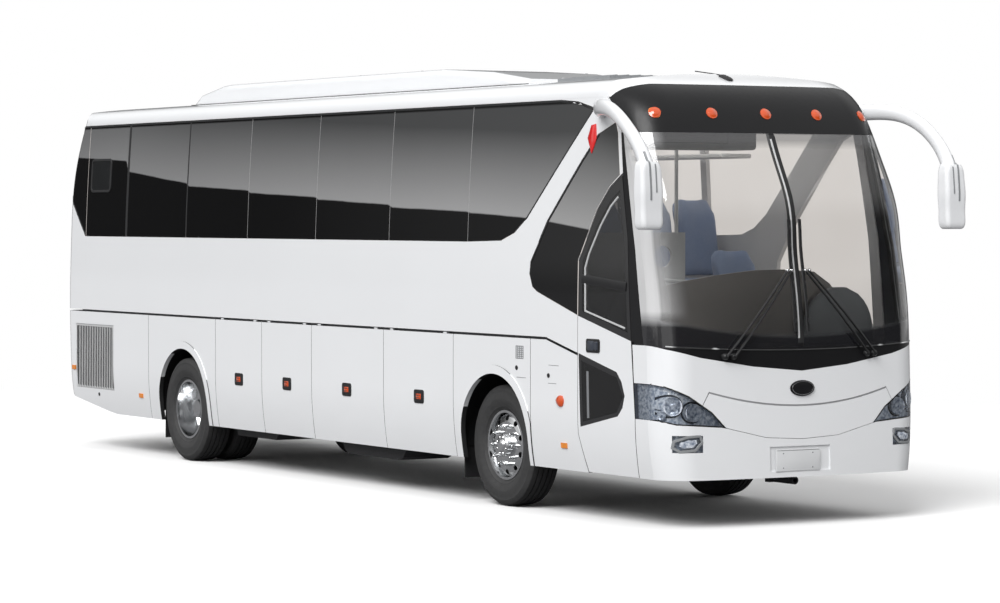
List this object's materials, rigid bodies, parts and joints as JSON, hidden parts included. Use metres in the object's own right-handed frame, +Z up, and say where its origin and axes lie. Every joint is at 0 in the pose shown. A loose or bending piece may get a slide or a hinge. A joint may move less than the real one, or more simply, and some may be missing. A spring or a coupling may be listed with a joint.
{
  "type": "coach bus",
  "caption": "Twelve metre touring coach with hollow cabin, through luggage bays with hinged flaps, swinging entrance door, steered front wheels, engine lid and roof hatch.",
  "frame": {"origin": "on the ground, halfway along and across the coach", "axes": "+X forward, +Y to the driver's side (left), +Z up"},
  "size_m": [12.1098, 3.1798, 3.8198],
  "materials": {
    "paint": "gloss",
    "black_paint": "gloss",
    "glass_dark": "gloss",
    "glass_clear": "gloss",
    "lamp_glass": "gloss",
    "lamp_red": "gloss",
    "lamp_orange": "gloss",
    "steel_dark": "matte",
    "steel": "satin",
    "rim_metal": "polished",
    "tyre": "matte",
    "rubber": "matte",
    "floor": "matte",
    "grey_plastic": "matte",
    "black_plastic": "matte",
    "fabric": "matte"
  },
  "bodies": {
    "body": {"skirts_right": "paint", "skirts_left": "paint", "roof_shell": "paint", "side_wall_right": "paint", "side_wall_left": "paint", "front_panel": "paint", "front_bumper": "paint", "rear_panel": "paint", "rear_bumper": "paint", "roof_air_unit": "paint", "mirrors": "paint", "front_cap": "black_paint", "windscreen_frame": "black_paint", "side_grilles": "grey_plastic", "dashboard": "grey_plastic", "stair_screen": "grey_plastic", "cabin_floor": "floor", "front_floor": "floor", "luggage_bays": "steel", "chassis_frame": "steel_dark", "front_axle_beam": "steel_dark", "rear_axle": "steel_dark", "engine_block": "steel_dark", "underfloor_tanks": "steel_dark", "cab_windows": "glass_dark", "side_windows": "glass_dark", "rear_window": "glass_dark", "windscreens": "glass_clear", "front_lamps": "lamp_glass", "rear_lamps": "lamp_red", "marker_lamps": "lamp_orange", "arch_liners": "black_plastic", "wipers": "black_plastic", "steering_wheel": "black_plastic", "mud_flaps": "rubber", "seats": "fabric"},
    "front_wheel_right": {"front_tyre_right": "tyre", "front_rim_right": "rim_metal"},
    "front_wheel_left": {"front_tyre_left": "tyre", "front_rim_left": "rim_metal"},
    "rear_wheels_right": {"rear_tyres_right": "tyre", "rear_rims_right": "rim_metal"},
    "rear_wheels_left": {"rear_tyres_left": "tyre", "rear_rims_left": "rim_metal"},
    "steer_right": {"knuckle_right": "steel_dark"},
    "steer_left": {"knuckle_left": "steel_dark"},
    "lid": {"engine_lid": "paint"},
    "hatch": {"roof_hatch": "grey_plastic"},
    "door_linkage": {"door_arm": "steel_dark"},
    "door": {"passenger_door": "paint", "passenger_door_glass": "glass_clear"},
    "flap_right_1": {"luggage_door_right_1": "paint"},
    "flap_right_2": {"luggage_door_right_2": "paint"},
    "flap_right_3": {"luggage_door_right_3": "paint"},
    "flap_right_4": {"luggage_door_right_4": "paint"},
    "flap_left_1": {"luggage_door_left_1": "paint"},
    "flap_left_2": {"luggage_door_left_2": "paint"},
    "flap_left_3": {"luggage_door_left_3": "paint"},
    "flap_left_4": {"luggage_door_left_4": "paint"}
  },
  "joints": [
    {"name": "steering_right", "type": "hinge", "parent": "body", "child": "steer_right", "pos_m": [3.18, -0.88, 0.522], "axis": [0, 0, 1], "range_deg": [-40, 40]},
    {"name": "front_wheel_spin_right", "type": "hinge", "parent": "steer_right", "child": "front_wheel_right", "pos_m": [3.18, -1.045, 0.522], "axis": [0, 1, 0], "continuous": true},
    {"name": "rear_wheel_spin_right", "type": "hinge", "parent": "body", "child": "rear_wheels_right", "pos_m": [-3.02, -0.92, 0.522], "axis": [0, 1, 0], "continuous": true},
    {"name": "flap_hinge_right_1", "type": "hinge", "parent": "body", "child": "flap_right_1", "pos_m": [-1.739, -1.265, 1.459], "axis": [-1, 0, 0], "range_deg": [0, 85]},
    {"name": "flap_hinge_right_2", "type": "hinge", "parent": "body", "child": "flap_right_2", "pos_m": [-0.7065, -1.265, 1.459], "axis": [-1, 0, 0], "range_deg": [0, 85]},
    {"name": "flap_hinge_right_3", "type": "hinge", "parent": "body", "child": "flap_right_3", "pos_m": [0.5195, -1.265, 1.459], "axis": [-1, 0, 0], "range_deg": [0, 85]},
    {"name": "flap_hinge_right_4", "type": "hinge", "parent": "body", "child": "flap_right_4", "pos_m": [1.857, -1.265, 1.459], "axis": [-1, 0, 0], "range_deg": [0, 85]},
    {"name": "steering_left", "type": "hinge", "parent": "body", "child": "steer_left", "pos_m": [3.18, 0.88, 0.522], "axis": [0, 0, 1], "range_deg": [-40, 40]},
    {"name": "front_wheel_spin_left", "type": "hinge", "parent": "steer_left", "child": "front_wheel_left", "pos_m": [3.18, 1.045, 0.522], "axis": [0, 1, 0], "continuous": true},
    {"name": "rear_wheel_spin_left", "type": "hinge", "parent": "body", "child": "rear_wheels_left", "pos_m": [-3.02, 0.92, 0.522], "axis": [0, 1, 0], "continuous": true},
    {"name": "flap_hinge_left_1", "type": "hinge", "parent": "body", "child": "flap_left_1", "pos_m": [-1.739, 1.265, 1.459], "axis": [1, 0, 0], "range_deg": [0, 85]},
    {"name": "flap_hinge_left_2", "type": "hinge", "parent": "body", "child": "flap_left_2", "pos_m": [-0.7065, 1.265, 1.459], "axis": [1, 0, 0], "range_deg": [0, 85]},
    {"name": "flap_hinge_left_3", "type": "hinge", "parent": "body", "child": "flap_left_3", "pos_m": [0.5195, 1.265, 1.459], "axis": [1, 0, 0], "range_deg": [0, 85]},
    {"name": "flap_hinge_left_4", "type": "hinge", "parent": "body", "child": "flap_left_4", "pos_m": [1.857, 1.265, 1.459], "axis": [1, 0, 0], "range_deg": [0, 85]},
    {"name": "engine_lid_hinge", "type": "hinge", "parent": "body", "child": "lid", "pos_m": [-6.103, 0, 1.463], "axis": [0, 1, 0], "range_deg": [0, 85]},
    {"name": "roof_hatch_hinge", "type": "hinge", "parent": "body", "child": "hatch", "pos_m": [2.705, 0, 3.674], "axis": [0, -1, 0], "range_deg": [0, 60]},
    {"name": "door_arm_swing", "type": "hinge", "parent": "body", "child": "door_linkage", "pos_m": [5.12, -1.15, 1.6], "axis": [0, 0, 1], "range_deg": [0, 95]},
    {"name": "door_leaf_swing", "type": "hinge", "parent": "door_linkage", "child": "door", "pos_m": [4.71, -1.18, 1.2], "axis": [0, 0, 1], "range_deg": [-95, 0]}
  ],
  "couplings": [
    {"joint": "steering_left", "follows": "steering_right", "ratio": 1},
    {"joint": "door_leaf_swing", "follows": "door_arm_swing", "ratio": -1}
  ]
}
